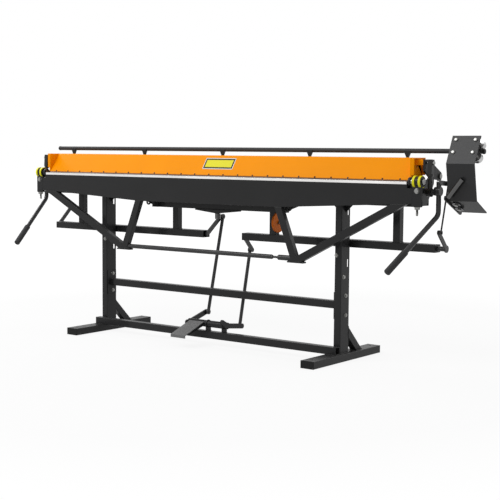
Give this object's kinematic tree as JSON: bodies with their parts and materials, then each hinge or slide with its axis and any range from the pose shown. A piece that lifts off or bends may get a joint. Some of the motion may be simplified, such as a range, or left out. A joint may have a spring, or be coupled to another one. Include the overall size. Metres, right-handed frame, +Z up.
{
  "type": "sheet metal bending machine",
  "caption": "Long hand-operated sheet metal folder on a two-post stand: hinged folding beam with truss, clamping beam lifted by a pedal linkage, and a roller knife on a rail.",
  "frame": {"origin": "middle of the four floor anchor holes, on the floor plane, at mid length", "axes": "+X along the bend to the knife end, +Y to the back of the machine, +Z up"},
  "size_m": [2.998, 0.67, 1.1683],
  "materials": {
    "charcoal_paint": "satin powder coat",
    "orange_paint": "gloss powder coat",
    "zinc_hardware": "zinc plated",
    "polished_steel": "ground bright",
    "tool_steel": "ground",
    "black_plastic": "moulded",
    "grip_rubber": "moulded grip",
    "yellow_plastic": "moulded",
    "yellow_plate": "printed plate, blank",
    "grey_paint": "worn satin coat",
    "roller_steel": "turned"
  },
  "bodies": {
    "frame": {"feet": "charcoal_paint", "foot_end_caps": "black_plastic", "posts": "charcoal_paint", "post_braces": "charcoal_paint", "post_head_plates": "charcoal_paint", "cross_rails": "charcoal_paint", "rail_flanges": "charcoal_paint", "frame_bolts": "zinc_hardware", "bed_beam": "charcoal_paint", "bed_table": "charcoal_paint", "camber_bar": "charcoal_paint", "camber_bolt": "zinc_hardware", "eye_bolts": "charcoal_paint", "side_plates": "charcoal_paint", "pivot_pins": "zinc_hardware", "bearings": "charcoal_paint", "shaft_rails": "charcoal_paint", "rail_hangers": "charcoal_paint", "pedal_brackets": "charcoal_paint"},
    "folding_beam": {"fold_beam": "charcoal_paint", "fold_edge_strip": "polished_steel", "fold_truss": "charcoal_paint", "truss_tie": "charcoal_paint", "fold_end_blocks": "charcoal_paint", "drum_bands": "yellow_plastic", "fold_hardware": "zinc_hardware"},
    "clamping_beam": {"clamp_front": "orange_paint", "clamp_back": "orange_paint", "clamp_blade": "tool_steel", "clamp_end_frames": "orange_paint", "clamp_arms": "charcoal_paint", "clamp_arm_pins": "zinc_hardware", "rail_brackets": "charcoal_paint", "knife_rail": "charcoal_paint", "rail_caps": "black_plastic", "label_plate": "yellow_plate"},
    "handle_right": {"handle_right": "charcoal_paint", "grip_right": "grip_rubber"},
    "handle_left": {"handle_left": "charcoal_paint", "grip_left": "grip_rubber"},
    "lift_link_right": {"lift_link_right": "charcoal_paint"},
    "lift_link_left": {"lift_link_left": "charcoal_paint"},
    "torsion_shaft_right": {"torsion_shaft_right": "charcoal_paint"},
    "torsion_shaft_left": {"torsion_shaft_left": "charcoal_paint"},
    "thin_rod_right": {"thin_rod_right": "charcoal_paint"},
    "thin_rod_left": {"thin_rod_left": "charcoal_paint"},
    "long_rod_right": {"long_rod_right": "charcoal_paint"},
    "long_rod_left": {"long_rod_left": "charcoal_paint"},
    "pedal": {"pedal_frame": "charcoal_paint", "pedal_plate": "grey_paint"},
    "knife_carriage": {"knife_plate": "charcoal_paint", "knife_hardware": "zinc_hardware"},
    "roller_upper_left": {"roller_upper_left": "roller_steel"},
    "roller_upper_right": {"roller_upper_right": "roller_steel"},
    "roller_lower_left": {"roller_lower_left": "roller_steel"},
    "roller_lower_right": {"roller_lower_right": "roller_steel"},
    "cutter_upper": {"cutter_upper": "tool_steel"},
    "cutter_lower": {"cutter_lower": "tool_steel"},
    "locking_disc": {"locking_disc": "orange_paint"}
  },
  "joints": [
    {"name": "fold_hinge", "type": "hinge", "parent": "frame", "child": "folding_beam", "pos_m": [0, -0.1, 0.944], "axis": [-1, 0, 0], "range_deg": [0, 135]},
    {"name": "clamp_lift", "type": "hinge", "parent": "frame", "child": "clamping_beam", "pos_m": [0, 0.11, 0.968], "axis": [-1, 0, 0], "range_deg": [0, 7]},
    {"name": "handle_right_turn", "type": "hinge", "parent": "frame", "child": "handle_right", "pos_m": [1.385, -0.005, 0.897], "axis": [-1, 0, 0], "range_deg": [0, 30]},
    {"name": "lift_link_right_pivot", "type": "hinge", "parent": "clamping_beam", "child": "lift_link_right", "pos_m": [1.352, -0.028, 1.035], "axis": [1, 0, 0], "range_deg": [0, 3.9]},
    {"name": "handle_left_turn", "type": "hinge", "parent": "frame", "child": "handle_left", "pos_m": [-1.385, -0.005, 0.897], "axis": [-1, 0, 0], "range_deg": [0, 30]},
    {"name": "lift_link_left_pivot", "type": "hinge", "parent": "clamping_beam", "child": "lift_link_left", "pos_m": [-1.352, -0.028, 1.035], "axis": [1, 0, 0], "range_deg": [0, 3.9]},
    {"name": "torsion_shaft_right_turn", "type": "hinge", "parent": "frame", "child": "torsion_shaft_right", "pos_m": [0.74, 0.07, 0.61], "axis": [1, 0, 0], "range_deg": [0, 14.1]},
    {"name": "torsion_shaft_left_turn", "type": "hinge", "parent": "frame", "child": "torsion_shaft_left", "pos_m": [-0.74, 0.07, 0.61], "axis": [1, 0, 0], "range_deg": [0, 15.1]},
    {"name": "pedal_turn", "type": "hinge", "parent": "frame", "child": "pedal", "pos_m": [0, -0.08, 0.12], "axis": [1, 0, 0], "range_deg": [0, 10.5]},
    {"name": "thin_rod_right_pivot", "type": "hinge", "parent": "handle_right", "child": "thin_rod_right", "pos_m": [1.406, 0.053, 0.934], "axis": [1, 0, 0], "range_deg": [0, 22.5]},
    {"name": "thin_rod_left_pivot", "type": "hinge", "parent": "handle_left", "child": "thin_rod_left", "pos_m": [-1.365, -0.016, 0.822], "axis": [1, 0, 0], "range_deg": [0, 33.4]},
    {"name": "long_rod_right_pivot", "type": "hinge", "parent": "torsion_shaft_right", "child": "long_rod_right", "pos_m": [0.118, 0.147, 0.528], "axis": [1, 0, 0], "range_deg": [-16.4, 0]},
    {"name": "long_rod_left_pivot", "type": "hinge", "parent": "torsion_shaft_left", "child": "long_rod_left", "pos_m": [-0.118, 0.195, 0.705], "axis": [1, 0, 0], "range_deg": [-13.2, 0]},
    {"name": "knife_swing", "type": "hinge", "parent": "clamping_beam", "child": "knife_carriage", "pos_m": [1.515, 0.05, 1.093], "axis": [-1, 0, 0], "range_deg": [0, 46]},
    {"name": "roller_upper_left_spin", "type": "hinge", "parent": "knife_carriage", "child": "roller_upper_left", "pos_m": [1.464, 0.06435, 1.12305], "axis": [0, 0.9024, -0.431], "continuous": true},
    {"name": "roller_upper_right_spin", "type": "hinge", "parent": "knife_carriage", "child": "roller_upper_right", "pos_m": [1.567, 0.06435, 1.12305], "axis": [0, 0.9024, -0.431], "continuous": true},
    {"name": "roller_lower_left_spin", "type": "hinge", "parent": "knife_carriage", "child": "roller_lower_left", "pos_m": [1.464, 0.03565, 1.06295], "axis": [0, 0.9024, -0.431], "continuous": true},
    {"name": "roller_lower_right_spin", "type": "hinge", "parent": "knife_carriage", "child": "roller_lower_right", "pos_m": [1.567, 0.03565, 1.06295], "axis": [0, 0.9024, -0.431], "continuous": true},
    {"name": "cutter_upper_spin", "type": "hinge", "parent": "knife_carriage", "child": "cutter_upper", "pos_m": [1.47, 0.0222, 0.83988], "axis": [0, -0.4727, -0.8812], "continuous": true},
    {"name": "cutter_lower_spin", "type": "hinge", "parent": "knife_carriage", "child": "cutter_lower", "pos_m": [1.47, 0.05569, 0.82191], "axis": [0, -0.4727, -0.8812], "continuous": true},
    {"name": "locking_disc_spin", "type": "hinge", "parent": "frame", "child": "locking_disc", "pos_m": [0.3753, 0.06, 0.699], "axis": [1, 0, 0], "continuous": true}
  ],
  "couplings": [
    {"joint": "handle_right_turn", "follows": "clamp_lift", "ratio": 4.2857},
    {"joint": "lift_link_right_pivot", "follows": "clamp_lift", "ratio": 0.5485},
    {"joint": "handle_left_turn", "follows": "clamp_lift", "ratio": 4.2857},
    {"joint": "lift_link_left_pivot", "follows": "clamp_lift", "ratio": 0.5485},
    {"joint": "torsion_shaft_right_turn", "follows": "clamp_lift", "ratio": 2.006},
    {"joint": "torsion_shaft_left_turn", "follows": "clamp_lift", "ratio": 2.1492},
    {"joint": "pedal_turn", "follows": "clamp_lift", "ratio": 1.4924},
    {"joint": "thin_rod_right_pivot", "follows": "clamp_lift", "ratio": 3.197},
    {"joint": "thin_rod_left_pivot", "follows": "clamp_lift", "ratio": 4.7555},
    {"joint": "long_rod_right_pivot", "follows": "clamp_lift", "ratio": -2.3345},
    {"joint": "long_rod_left_pivot", "follows": "clamp_lift", "ratio": -1.866}
  ]
}
